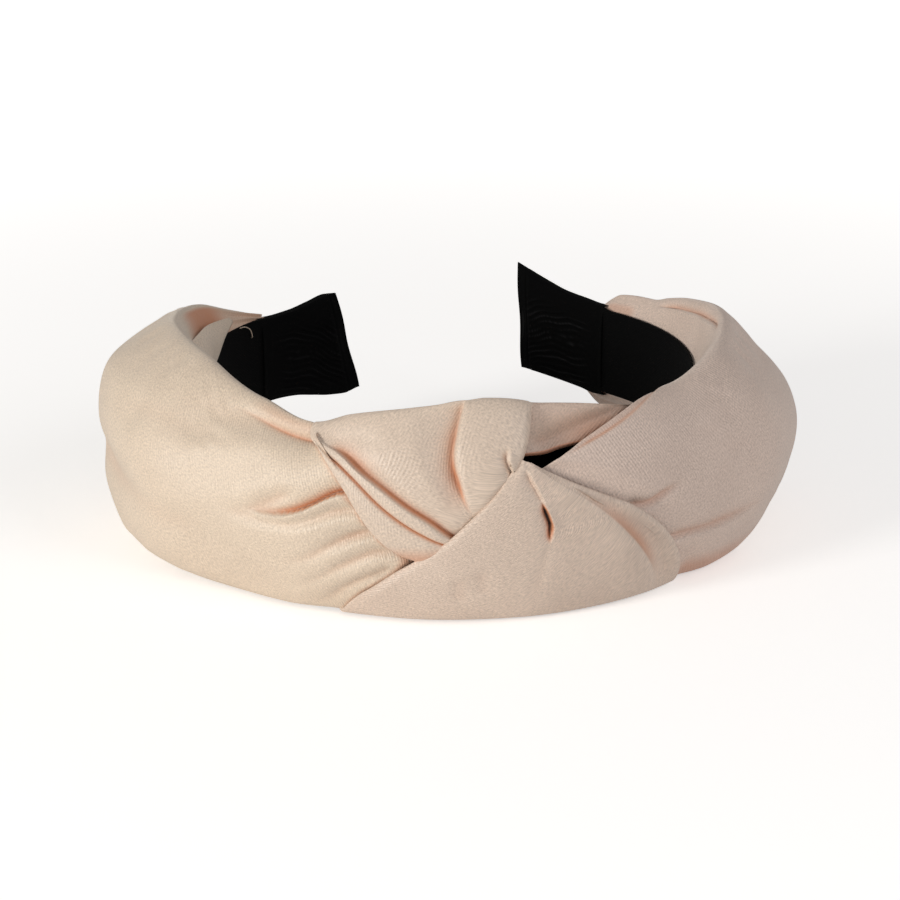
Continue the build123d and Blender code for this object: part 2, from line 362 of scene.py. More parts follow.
def hollow(height, grid):
    """How deep a point lies in a fold, up to .75, over the whole grid with its rolled edges, as painted shade
    for the fold.
    """
    reach, full_depth = 4, 1.7
    flat = height
    for _ in range(3):
        for axis in (0, 1):
            wide = np.concatenate([flat.take([0] * reach, axis), flat, flat.take([-1] * reach, axis)], axis)
            total = np.cumsum(wide, axis)
            n = flat.shape[axis]
            last = total.take(range(2 * reach, 2 * reach + n), axis)
            first = total.take(range(n), axis) - wide.take(range(n), axis)
            flat = (last - first) / (2 * reach + 1)
    deep = .75 * np.clip((flat - height) / full_depth, 0, 1) ** 1.2
    return padded(deep, grid, mode="constant")


def cloth_settings(cloth, frames):
    """Slack cloth with gravity off and a little air inside."""
    c = cloth.settings
    c.quality = 6
    c.mass = .2
    c.effector_weights.gravity = 0
    c.tension_stiffness = c.compression_stiffness = c.bending_stiffness = 25
    c.air_damping = 4
    c.vertex_group_mass = "held"
    c.pin_stiffness = 1
    c.shrink_min = -.007
    c.use_pressure = True
    c.uniform_pressure_force = .7
    cloth.collision_settings.use_collision = cloth.collision_settings.use_self_collision = False
    cloth.point_cache.frame_end = frames


def settle(p, held):
    """Cloth simulation on a coarse copy of a grid. held is 1 where the cloth is sewn or tucked
    in. The movement is capped and goes onto the grid."""
    every, frames, cap = 5, 20, 1.4
    rows, cols = (np.unique(np.append(np.arange(0, n, every), n - 1)) for n in p.shape[:2])
    coarse = p[np.ix_(rows, cols)] / 1000
    me = bpy.data.meshes.new("settling")
    me.from_pydata(coarse.reshape(-1, 3).tolist(), [], faces(*coarse.shape[:2]).tolist())
    obj = bpy.data.objects.new("settling", me)
    scene = bpy.context.scene
    scene.collection.objects.link(obj)
    group = obj.vertex_groups.new(name="held")
    for i, w in enumerate(held[np.ix_(rows, cols)].reshape(-1)):
        group.add([i], float(w), "REPLACE")
    cloth_settings(obj.modifiers.new("cloth", "CLOTH"), frames)
    for f in range(1, frames + 1):
        scene.frame_set(f)
    done = obj.evaluated_get(bpy.context.evaluated_depsgraph_get()).data
    new = np.empty(coarse.size)
    done.vertices.foreach_get("co", new)
    move = (new.reshape(coarse.shape) - coarse) * 1000
    size = np.linalg.norm(move, axis=-1, keepdims=True)
    move *= cap * np.tanh(size / cap) / np.maximum(size, 1e-9)
    bpy.data.objects.remove(obj)
    scene.frame_set(1)
    for axis, at in ((0, rows), (1, cols)):
        across = np.moveaxis(move, axis, 0)
        fine = smooth_curve(at, across.reshape(len(at), -1), np.arange(p.shape[axis]))
        move = np.moveaxis(fine.reshape(p.shape[axis], *across.shape[1:]), 0, axis)
    return p + move


# ---------------------------------------------------------------------------------------------
# Materials
def new_material(name):
    material = bpy.data.materials.new(name)
    material.use_nodes = True
    return material, material.node_tree, material.node_tree.nodes["Principled BSDF"]


def feed(tree, socket, value):
    """Gives an input a fixed value, or links it to another node's output."""
    if isinstance(value, bpy.types.NodeSocket):
        tree.links.new(value, socket)
    else:
        socket.default_value = value


def put(tree, target, **values):
    """Sets a node's inputs and settings by name, with _ for a space in an input's name."""
    for name, value in values.items():
        socket = target.inputs.get(name.replace("_", " "))
        if socket:
            feed(tree, socket, value)
        else:
            setattr(target, name, value)
    return target


def node(tree, kind, **values):
    return put(tree, tree.nodes.new("ShaderNode" + kind), **values)


def numbered(tree, target, *values):
    """Sets a node's inputs in their order."""
    for socket, value in zip(target.inputs, values):
        feed(tree, socket, value)
    return target


def arithmetic(tree, operation, *values, **settings):
    return numbered(tree, node(tree, "Math", operation=operation, **settings), *values).outputs[0]


def mixed(tree, share, first, second, blend="MIX"):
    """Blend of two colours by a share."""
    n = node(tree, "Mix", data_type="RGBA", blend_type=blend)
    for name, value in (("Factor_Float", share), ("A_Color", first), ("B_Color", second)):
        feed(tree, next(s for s in n.inputs if s.identifier == name), value)
    return next(s for s in n.outputs if s.identifier == "Result_Color")


def bands(tree, where, direction, **values):
    wave = node(tree, "TexWave", Vector=where, wave_type="BANDS", bands_direction=direction, **values)
    return wave.outputs["Fac"]


def noise(tree, where, **values):
    return node(tree, "TexNoise", Vector=where, **values).outputs["Fac"]


def in_object(tree):
    return node(tree, "TexCoord").outputs["Object"]


def on_cloth(tree):
    return node(tree, "UVMap", uv_map="cloth").outputs[0]


def painted_light_of(tree):
    return node(tree, "Attribute", attribute_name="crease").outputs["Fac"]


def relief(tree, height, strength, distance):
    return node(tree, "Bump", Height=height, Strength=strength, Distance=distance).outputs[0]


def linear(*rgb):
    """A colour of 0 to 255 in linear light."""
    return tuple(((c / 255) / 12.92 if c <= 10 else ((c / 255 + .055) / 1.055) ** 2.4) for c in rgb) + (1.0,)


SATIN_DARK, SATIN_LIGHT = (211, 190, 172), (237, 217, 198)
# Painted shade in the folds: a warm tint, and a deep brown for the darkest of it.
FOLD_SHADE_WARM, FOLD_SHADE_DEEP = linear(208, 140, 100), linear(72, 42, 28)


def satin(name, turn, tone=(1, 1, 1)):
    """Champagne satin: a fine twill, a soft sheen, faint unevenness, and painted shade in its folds: warm,
    and deep brown where darkest.
    """
    material, tree, surface = new_material(name)
    turned = node(tree, "Mapping", Vector=on_cloth(tree), Rotation=(0, 0, radians(turn))).outputs[0]
    twill = bands(tree, turned, "X", Scale=.48, Distortion=1.3, Detail=1.0, Detail_Scale=1.6)
    yarn = noise(tree, turned, Scale=1.9, Detail=3.0, Roughness=.65)
    cloud = noise(tree, in_object(tree), Scale=60.0, Detail=5.0, Roughness=.7)
    dark, light = (linear(*(min(255, c * k) for c, k in zip(rgb, tone))) for rgb in (SATIN_DARK, SATIN_LIGHT))
    grain = node(tree, "MapRange", Value=yarn, From_Min=.3, From_Max=.7, To_Min=.74, To_Max=1.16).outputs[0]
    lines = arithmetic(tree, "MULTIPLY_ADD", twill, .045, .975)
    woven = arithmetic(tree, "MULTIPLY", grain, lines)
    weave = mixed(tree, 1.0, mixed(tree, cloud, dark, light), woven, "MULTIPLY")
    # Painted shade: warm by the fold amount each mesh carries, deep brown where that amount passes 1.
    warm_fold_shade = mixed(tree, painted_light_of(tree), weave, FOLD_SHADE_WARM)
    deep_fold_shade = arithmetic(tree, "SUBTRACT", painted_light_of(tree), 1.0, use_clamp=True)
    gloss = node(tree, "MapRange", Value=cloud, To_Min=.36, To_Max=.52).outputs[0]
    high = arithmetic(tree, "MULTIPLY_ADD", yarn, 1.5, twill)
    put(tree, surface, Base_Color=mixed(tree, deep_fold_shade, warm_fold_shade, FOLD_SHADE_DEEP), Roughness=gloss,
        Normal=relief(tree, high, .6, .00007), Sheen_Weight=.32, Sheen_Roughness=.45,
        Sheen_Tint=(1.0, .95, .88, 1), Specular_IOR_Level=.55)
    return material


def ribbon(name, pitch, direction, strength=.5, tone=10, knit=False, rough=.75):
    """Black ribbon or rib knit: fine cords a pitch apart in mm, a little lint, and a painted highlight on the
    rib crests.
    """
    material, tree, surface = new_material(name)
    where = on_cloth(tree) if knit else in_object(tree)
    cords_a_unit = 2 * pi / (20 * (pitch if knit else pitch / 1000))
    cord = bands(tree, where, direction, Scale=cords_a_unit, Distortion=.4, Detail=1.0)
    lint = noise(tree, where, Scale=2.0 if knit else 900.0, Detail=3.0, Roughness=.7)
    dark, light = linear(tone - 6, tone - 6, tone - 6), linear(tone + 3, tone + 3, tone + 4)
    colour = mixed(tree, arithmetic(tree, "MULTIPLY", cord, lint), dark, light)
    high = arithmetic(tree, "MULTIPLY_ADD", lint, .5, cord)
    # Painted highlight: pale grey on the rib crests, by the amount the mesh carries.
    put(tree, surface, Base_Color=mixed(tree, painted_light_of(tree), colour, linear(58, 58, 60)),
        Normal=relief(tree, high, strength, .00012), Roughness=rough, Specular_IOR_Level=.05)
    return material


def thread(name, rgb):
    """Twisted sewing thread."""
    material, tree, surface = new_material(name)
    twist = bands(tree, in_object(tree), "DIAGONAL", Scale=700.0, Distortion=1.0)
    put(tree, surface, Base_Color=mixed(tree, twist, linear(*(c * .75 for c in rgb)), linear(*rgb)),
        Normal=relief(tree, twist, .5, .00005), Roughness=.6)
    return material


def plastic(name):
    """Black plastic with a fine grain."""
    material, tree, surface = new_material(name)
    grain = noise(tree, in_object(tree), Scale=2500.0, Detail=2.0)
    put(tree, surface, Base_Color=mixed(tree, grain, linear(14, 14, 15), linear(20, 20, 21)),
        Normal=relief(tree, grain, .25, .00004), Roughness=.6, Specular_IOR_Level=.08)
    return material


# Painted light in the tones: the left panel a touch yellower as the lit side, the right panel a touch pinker
# as the shaded side, and the tail darker as painted shade behind the knot.
SATIN_LEFT = satin("satin_left_panel", 16, (1.005, 1.01, .995))
SATIN_RIGHT = satin("satin_right_panel", 24, (1, .99, 1.01))
SATIN_UPPER = satin("satin_upper_wrap", -50)
SATIN_TAIL = satin("satin_tail", 50, (.97, .94, .935))
SATIN_LOWER = satin("satin_lower_wrap", -62, (1, .995, 1.0))
RIBBON = ribbon("lining_ribbon", .42, "Z")
KNIT = ribbon("rib_knit", .36, "Y", knit=True, strength=.6, tone=11, rough=.85)
BLACK_THREAD = thread("black_thread", (26, 26, 27))
BEIGE_THREAD = thread("beige_thread", (205, 185, 165))
PLASTIC = plastic("hoop_plastic")

# ---------------------------------------------------------------------------------------------
# The folds and edges of the knot, as (angle, place) on the sleeve: A is the upper wrap and B the
# lower one
A_EDGE = [(-32.4, 0), (-32.4, .12), (-32, .18), (-31.2, .232), (-28.6, .276), (-25.5, .346), (-23, .398),
          (-20.5, .454), (-18, .504), (-15, .544), (-11, .570), (-6, .580), (-2, .575)]
A_SEAM = [(-31.9, 0), (-31.9, .12), (-31.5, .18), (-30.6, .228), (-26.5, .298), (-21.5, .366), (-16, .442),
          (-10.5, .498), (-6, .532), (-1, .555)]
A_RIDGE = [(-31.4, 0), (-31.4, .12), (-31, .18), (-29.9, .228), (-27.2, .268), (-23.5, .306), (-20.5, .348),
           (-16, .398), (-12, .442), (-8.5, .476), (-5, .518), (-.5, .550)]
A_VALLEY = [(-1, 0), (-1.5, .10), (-3, .206), (-4, .262), (-4.6, .312), (-4.5, .356), (-3.7, .395),
            (-3, .428), (-1.5, .474), (1.5, .510)]
A_SIDE = [(11.5, 0), (11, .10), (10, .17), (8.7, .254), (7.6, .308), (7.1, .330), (6.2, .355), (5.4, .376),
          (8, .405)]
B_LEFT = [(7.0, .338), (5.2, .370), (2, .424), (-1.5, .474), (-5.5, .525), (-11, .572), (-14.5, .603),
          (-17.5, .636), (-20.5, .672), (-23, .712), (-25, .78), (-26.5, .88), (-27, 1)]
B_CREASE = [(7.4, .340), (8.2, .386), (9.5, .415), (10.3, .442), (11.3, .482), (11.2, .52), (10.5, .56),
            (9.5, .62), (9, .69), (9, .75), (8.5, .85), (8, 1)]
B_FOLD = [(7.8, .341), (10.8, .376), (16, .424), (20.5, .470), (25, .530), (29.5, .600), (31.7, .646),
          (32.7, .69), (33, .74), (33, .85), (33, 1)]
B_RIGHT = [(8.2, .343), (14, .384), (21, .432), (27, .476), (32.5, .536), (36, .590), (38.5, .650),
           (39.7, .70), (40, .76), (39, .86), (38.5, 1)]


def upper_wrap():
    """Upper wrap: a flap, a narrow ridge, the wide face, and a puffed roll at the right."""
    rows = 230
    spot, at = strip([A_EDGE, A_SEAM, A_RIDGE, A_VALLEY, A_SIDE], [14, 10, 64, 44], rows)
    angle, place = spot
    tuck = [(0, -1.8), (1, -1.5), (2, -1.2), (3, -.9), (4, -1.0)]
    top = [(0, -1.7), (.5, -1.5), (1, -1.3), (1.5, -1.2), (2, -1.1), (2.15, -.8), (2.4, -.5), (2.9, -.6),
           (3, -.7), (3.3, -.2), (3.8, -.3), (4, -.8)]
    high = [(0, -1.3), (.15, -.5), (.6, -.1), (.93, -.3), (1, -.5), (1.15, -.2), (1.5, .2), (1.88, .2),
            (1.98, -.3), (2.03, -.8), (2.09, -1.1), (2.22, -.9), (2.44, -.3), (2.58, -.3), (2.76, -1.1),
            (2.92, -2.3), (2.985, -2.8), (3.015, -.9), (3.08, -.1), (3.4, .2), (3.7, .3), (3.93, .1),
            (4, -.3)]
    mid = [(0, -1.0), (.12, .0), (.6, .5), (.93, .2), (1, -.7), (1.1, .1), (1.5, .8), (1.9, .8), (1.985, .2),
           (2.012, -.9), (2.035, -1.3), (2.12, -.8), (2.3, -.1), (2.56, .0), (2.76, -1.0), (2.91, -2.2),
           (2.985, -2.8), (3.015, -.8), (3.08, .1), (3.35, .5), (3.7, .6), (3.93, .3), (4, -.3)]
    low = [(0, -1.0), (.12, .0), (.6, .5), (.93, .2), (1, -.6), (1.1, .0), (1.5, .5), (1.85, .2), (1.97, -.6),
           (2.02, -1.7), (2.07, -1.8), (2.2, -.9), (2.5, -.2), (2.9, -.5), (3, -.6), (3.1, -.2), (3.4, .3),
           (3.7, .1), (3.93, -.4), (4, -.8)]
    end = [(0, -2.2), (1, -2.4), (2, -3.0), (3, -3.4), (4, -3.4)]
    height = profile(rows, [(0, tuck), (.2, tuck), (.29, top), (.39, high), (.52, mid), (.7, mid),
                            (.86, low), (1, end)], at)
    height = height + .18 * soft_noise(spot, 14, 3)
    nick = [(5.6, .380), (4.7, .356), (4.3, .336), (4.5, .320), (5.0, .308)]
    height += step(spot, nick, .35, 1.6, 1.6, 1.1, start=.1, end=.35, edge=.3)
    grid = rolled_both(skin(spot, height), .45 * ramp(np.linspace(0, 1, rows), .24, .36) + .05, .55)
    # Painted shade: dark lines along the ridge, the seam and the valley, and a patch at the wrap's foot where
    # it meets the lower wrap, over painted shade in every hollow.
    lines = sum(mark(spot, *row) for row in (
        (A_RIDGE[4:], .45, 1.1, .1, .15, -1), (A_RIDGE[6:], .65, .45, .3, .02, -1),
        (A_RIDGE[4:8], .5, 3.0, .4, .5, -1), (A_SEAM[4:], 1.05, .35, .1, .02),
        (A_VALLEY[2:9], .35, 3.2, .3, .3, 1), (A_VALLEY[4:9], .6, .4, .4, .4)))
    foot = .6 * ramp(place, .525, .565) * ramp(angle, -20, -14) * (1 - ramp(angle, -6, -2))
    crease = .7 * hollow(height, grid) + padded(np.maximum(lines, foot), grid)
    return satin_piece("upper_wrap_satin", grid, SATIN_UPPER, crease)


def upper_wrap_tail():
    """The rest of the upper wrap's panel, behind the pinch, with its free lower edge."""
    angle, place = np.meshgrid(np.linspace(1, 42.5, 110), np.linspace(0, 1, 60), indexing="ij")
    free = level_curve([(1, .345), (8, .318), (12, .306), (15, .294), (19, .288), (46, .288)], angle)
    place = free * (1 - place)
    spot = (angle, place)
    height = -.3 - 3.4 * ramp(place, .13, .32) + .12 * soft_noise(spot, 12, 8) - 2.6 * ramp(angle, 12, 40)
    height += valley(spot, [(8, .29), (13, .272), (18, .245), (24, .215), (30, .18)], 1.0, 2.4, .2, .2)
    grid = rolled(skin(spot, height), .4)
    shade = .65 * ramp(place, .16, .28) * ramp(angle, 8, 26) + 1.5 * ramp(place - free, -.006, -.001)
    crease = np.maximum(padded(shade, grid), hollow(height, grid))
    return satin_piece("upper_wrap_tail_satin", grid, SATIN_TAIL, crease)


def lower_wrap():
    """Lower wrap: a fan from the pinch to the hoop's lower edge, with a slit and a lip at the right."""
    rows = 210
    spot, at = strip([B_LEFT, B_CREASE, B_FOLD, B_RIGHT], [64, 60, 40], rows)
    tip = [(0, -.2), (.5, .3), (1, .2), (1.5, .4), (2, .4), (2.5, .1), (3, -.2)]
    neck = [(0, .0), (.06, .5), (.5, .8), (.9, .7), (1, .6), (1.5, .8), (1.85, .9), (2, .8), (2.2, .6),
            (2.5, .4), (2.9, .1), (3, -.2)]
    lip = [(0, .0), (.06, .5), (.5, .9), (.9, .8), (1, .7), (1.5, .9), (1.85, 1.1), (2, .9), (2.2, .45),
           (2.45, .25), (2.8, .2), (3, .0)]
    fan = [(0, .0), (.06, .5), (.5, .9), (.9, .9), (1, .7), (1.1, .9), (1.5, .9), (1.85, 1.3), (1.95, 1.2),
           (2.02, .4), (2.1, -.5), (2.25, -.9), (2.45, -.9), (2.7, -.4), (2.9, .1), (3, -.1)]
    wide = [(0, .0), (.06, .5), (.5, .8), (1, .7), (1.5, .7), (1.85, 1.1), (1.96, .9), (2.06, .1),
            (2.25, -.8), (2.45, -.9), (2.7, -.4), (2.9, .1), (3, .1)]
    foot = [(0, .0), (.5, .3), (1, .3), (2, .4), (2.5, .2), (3, .0)]
    height = profile(rows, [(0, tip), (.06, tip), (.15, neck), (.28, lip), (.42, fan), (.56, wide),
                            (.68, foot), (1, foot)], at)
    height = height + .16 * soft_noise(spot, 13, 5)
    height += valley(spot, [(-4, .60), (-3.5, .64), (-4, .68)], .35, 2.0, start=.3, end=.3)
    height += valley(spot, [(-.5, .585), (.2, .62), (0, .66)], .35, 2.0, start=.3, end=.3)
    slit = [(10.9, .535), (11.2, .512), (11.3, .492), (10.9, .472), (10.3, .452), (9.6, .43)]
    height += step(spot, slit, .6, 2.4, 1.6, .9, start=.35, end=.3, edge=.2)
    above_slit = [(10.3, .45), (9.9, .435), (9, .408), (8, .380), (7.2, .352)]
    height += step(spot, above_slit, .3, .9, 1.5, 1.6, start=.3, end=.3, edge=.4)
    along = np.linspace(0, 1, rows)
    height = height * ramp(along, 0, .04)[:, None]
    grid = rolled_both(skin(spot, height), .5, .35 * ramp(along, .05, .3) + .1)
    # Painted shade: a dark slit with a warm edge, and a line along the lip's fold, over painted shade in
    # every hollow.
    lines = sum(mark(spot, *row) for row in (
        (slit, 1.7, .4, .6, .25, -1), (slit, .75, 1.0, .2, .25, -1), (B_FOLD[2:8], .6, 2.5, .4, .4, -1)))
    return satin_piece("lower_wrap_satin", grid, SATIN_LOWER, hollow(height, grid) + padded(lines, grid))


# How far each wing runs in under the knot, as (place, angle)
LEFT_END = [(0, -32.2), (.12, -32.2), (.18, -31.9), (.232, -31), (.276, -28.5), (.346, -25.5), (.398, -23),
            (.454, -20.5), (.504, -18), (.544, -15.5), (.572, -13), (.603, -14.5), (.636, -17.5),
            (.672, -20.5), (.712, -23), (.78, -25), (.88, -26.5), (1, -27)]
RIGHT_END = [(0, -60), (.33, 0), (.352, 8.5), (.384, 14), (.432, 21), (.476, 27), (.536, 32.5), (.59, 36),
             (.65, 38.5), (.70, 39.7), (.76, 40), (.88, 39), (1, 38.5)]


def wing_hold(angle, place, by_knot, by_tip):
    """1 where a wing is held, at its edges, its gathers and the knot, and 0 in its free middle."""
    middle = ramp(angle, *by_knot) * (1 - ramp(angle, *by_tip))
    return 1 - middle * ramp(place, .17, .28) * (1 - ramp(place, .72, .82))


def left_wing():
    """Left wing: from the hoop's end to the knot, where it runs in under both wraps."""
    place = np.linspace(0, 1, 210)[None, :]
    edge = level_curve(LEFT_END, place)
    first, under_knot = -133.5, 7
    angle = first + (edge + under_knot - first) * np.linspace(0, 1, 260)[:, None] ** .93
    place = np.broadcast_to(place, angle.shape)
    spot = (angle, place)
    inside = (angle - edge) * ALONG
    height = -1.3 * ramp(inside, -16, 0) - 3.2 * ramp(inside, -.5, 6)
    height = height + .6 * soft_noise(spot, 26, 11) * ramp(-angle, 24, 60) + .12 * soft_noise(spot, 9, 12)
    rim = [(-30, .236), (-36, .230), (-43, .222), (-50, .222)]
    height += valley(spot, rim, 1.2, 1.5, end=.7, sharp=.7)
    height += valley(spot, [(-30, .236), (-40, .238), (-50, .25), (-60, .265), (-74, .28)], 1.0, 4.5)
    pleat = [(-42, .475), (-35, .464), (-29, .436), (-26, .418), (-23, .406), (-19, .402)]
    height += step(spot, pleat, 1.5, 3.0, 6, 2.2, start=.6, end=0, edge=.3)
    height += (bump(spot, 2.0, -90, .34, 14, .08) + bump(spot, -2.6, -79, .52, 12, .05)
               + bump(spot, 1.1, -72, .69, 13, .06))
    height += valley(spot, [(-30, .40), (-33, .408), (-37, .440), (-40, .466), (-46, .49)], .9, 2.0, start=.3)
    # Creased furrows that spread from the knot
    for points, depth, sharp in (
            ([(-18, .445), (-24, .450), (-28.5, .468), (-33.5, .486), (-40, .492), (-49, .485)], 1.4, .3),
            ([(-12, .49), (-18.5, .504), (-22, .520), (-25.5, .542), (-29, .566), (-37, .605)], 1.7, .35),
            ([(-12, .55), (-18, .558), (-23.5, .592), (-29.5, .642), (-36, .69)], 1.4, .3)):
        height += valley(spot, points, depth, 1.8, end=.75, sharp=sharp)
    height += valley(spot, [(-16, .60), (-22, .645), (-27, .70), (-32, .74)], .8, 1.6, end=.7, sharp=.3)
    height += valley(spot, [(-42, .30), (-52, .31), (-64, .335), (-76, .35)], .7, 4.0, start=.4, end=.5)
    height += valley(spot, [(-44, .56), (-56, .56), (-68, .55), (-82, .54)], .8, 4.0, start=.4, end=.4)
    height += .45 * gathers(place) * ramp(-angle, 112, 131)
    grid = settle(skin(spot, height), wing_hold(-angle, place, (38, 62), (104, 122)))
    # Painted shade: where the wing goes in under the knot, along the pleat and the rim, and over the rim,
    # which faces away from the light.
    shade_at_knot = .5 * ramp(inside, -1.6, .5) * ramp(place, .2, .26)
    crease = np.maximum(hollow(height, grid), shade_at_knot) + mark(spot, pleat, .95, 1.1, .6, 0, side=-1)
    shade_over_rim = [(-31, .2), (-38, .19), (-47, .18)]
    crease += mark(spot, rim, .45, .5, 0, .7) + mark(spot, shade_over_rim, .25, 3.5, 0, .5)
    # Painted shade on the inner slope, turned in towards the lining and out of the light.
    turned_in_shade = ramp(-angle, 88, 103) * (1 - .7 * ramp(-angle, 110, 122)) * (1 - ramp(place, .115, .14))
    uv = np.stack([angle * ALONG, lengths(grid)[..., 1]], -1)
    return satin_piece("left_wing_satin", grid, SATIN_LEFT, np.maximum(crease, turned_in_shade), uv)


def right_wing():
    """Right wing: its upper edge is a narrow hem that runs from the knot up over the hoop."""
    angle = np.linspace(6, 137.5, 280)[:, None]
    hem = level_curve([(6, .40), (9.5, .368), (12, .346), (15, .318), (18, .292), (21.5, .268), (29, .218),
                       (36, .167), (40, .137), (44, .108), (47.5, .06), (51.5, 0), (138, 0)], angle)
    place = hem + (1 - hem) * np.linspace(0, 1, 210)[None, :]
    angle = np.broadcast_to(angle, place.shape)
    spot = (angle, place)
    inside = (level_curve(RIGHT_END, place) - angle) * ALONG
    height = -1.4 * ramp(inside, -14, 0) - 3.0 * ramp(inside, 0, 6)
    height = height + .5 * soft_noise(spot, 26, 21) * ramp(angle, 34, 60) + .1 * soft_noise(spot, 9, 22)
    by_lip = [(25, .456), (28.5, .476), (31, .474), (33.2, .460), (35.7, .446), (38.5, .43)]
    height += valley(spot, by_lip, 2.0, 1.7, start=.25, end=.4, sharp=.4)
    pleat = [(34, .594), (41.5, .586), (47, .584), (55, .580), (62, .57)]
    height += step(spot, pleat, .7, 1.3, 5, 3.0)
    height += (bump(spot, -3.2, 82, .29, 17, .09) + bump(spot, .5, 80, .48, 12, .06)
               + bump(spot, -1.5, 70, .63, 14, .08))
    rim = [(116, .085), (108, .090), (98, .092), (89, .096), (80, .112), (74, .116)]
    height += step(spot, rim, .8, 1.8, 3, 1.6, start=.2, end=.25, edge=.3)
    below = (place - hem) * AROUND
    facing = .3 + 1.6 * np.sin(pi * np.clip((angle - 15) / 31, 0, 1)) ** .7
    shown = ramp(angle, 14, 20) * (1 - ramp(angle, 43, 49))
    height = height - .7 * (1 - ramp(below, facing - .2, facing + .3)) * shown
    height += .28 * gathers(place) * ramp(angle, 112, 131) * ramp(place, .15, .3)
    grid = settle(skin(spot, height), wing_hold(angle, place, (44, 62), (100, 118)))
    grid = rolled(grid, .24 * (1 - ramp(angle[:, 0], 34, 50)) + .02, face=1)
    # Painted shade: a dark line along the hem's turn, under the nose at the tip, and on the underside by the
    # floor.
    hem_shade_line = (.55 * np.exp(-((below - facing) / .35) ** 2) + .1 * (below < facing)) * shown
    nose_shade = .35 * ramp(angle, 121, 124) * (1 - ramp(angle, 130, 132)) * (1 - ramp(place, .05, .08))
    under = .55 * ramp(angle, 40, 43) * (1 - ramp(angle, 55, 68)) * ramp(place, .65, .72)
    crease = hollow(height, grid) + padded(np.maximum(hem_shade_line, nose_shade) + under, grid)
    return satin_piece("right_wing_satin", grid, SATIN_RIGHT, crease)


def left_tongue():
    """Tongue of satin inside the left arm, from under the rim down over the lining. Its two sides
    are given by angle, radius and height."""
    down = np.linspace(0, 1, 60)
    one_side = smooth_curve(
        [0, .12, .25, .5, .75, 1],
        [(-115.5, 57.2, 42.6), (-117.2, 57.1, 41.4), (-116, 56.9, 40.6), (-112, 56.7, 38.8),
         (-106, 56.7, 35.2), (-98, 57.3, 31.5)], down)
    other_side = smooth_curve(
        [0, .25, .5, .75, 1],
        [(-90, 60.8, 43.6), (-88, 58.6, 42), (-86, 57.2, 40), (-86, 56.9, 36.5), (-91, 57.3, 32)], down)
    across = np.linspace(0, 1, 40)[None, :]
    cyl = one_side[:, None] * (1 - across[..., None]) + other_side[:, None] * across[..., None]
    bow = np.sin(pi * across)
    lift = 1.0 * bow + .25 * np.sin(9 * across + 3 * down[:, None]) * bow
    top_edge = 1.1 * bow * (1 - ramp(down, 0, .5))[:, None]
    grid = rolled(polar(cyl[..., 1] - lift, cyl[..., 0], cyl[..., 2] + top_edge), -.35)
    return satin_piece("left_tongue_satin", grid, SATIN_LEFT)


def lining_bridge(side):
    """The lining ribbon's run across a flex line, where the CAD ribbon is parted."""
    section = np.array([(58.1, 10.9), (57.9, 11.12), (57.5, 11.14), (57.36, 11.0), (57.35, 5), (57.35, 0),
                        (57.35, -5), (57.36, -11.0), (57.5, -11.14), (57.9, -11.12), (58.1, -10.9)])
    q = line(section / (ALONG, AROUND), 90) * (ALONG, AROUND)
    angle = SIGN[side] * np.linspace(FLEX_START - .1, FLEX_END + .1, 40)[:, None]
    p = polar(q[None, :, 0], angle, arm_mid(angle) + q[None, :, 1])
    return mesh(f"{side}_lining_bridge", p, lengths(p), RIBBON)


def thread_run(name, points, radius):
    """A short length of twisted sewing thread that lies along points: angle, radius and height."""
    plies, turns = 2, 8
    s = np.linspace(0, 1, 60)
    route = smooth_curve(np.linspace(0, 1, len(points)), points, s)
    p = polar(route[:, 1], route[:, 0], route[:, 2])
    along = np.gradient(p, axis=0)
    along /= np.linalg.norm(along, axis=1, keepdims=True)
    out = np.cross(along, (0, 0, 1))
    out /= np.linalg.norm(out, axis=1, keepdims=True)
    up = np.cross(out, along)
    w = np.linspace(0, 2 * pi, 16, endpoint=False)[None, :, None]
    s = s[:, None, None]
    taper = ramp(np.minimum(s, 1 - s), -.02, .02)
    r = radius * (1 + .22 * np.cos(plies * (w - 2 * pi * turns * s))) * taper
    grid = p[:, None] + r * (np.cos(w) * out[:, None] + np.sin(w) * up[:, None])
    return mesh(name, grid, lengths(grid), BEIGE_THREAD, around=True)


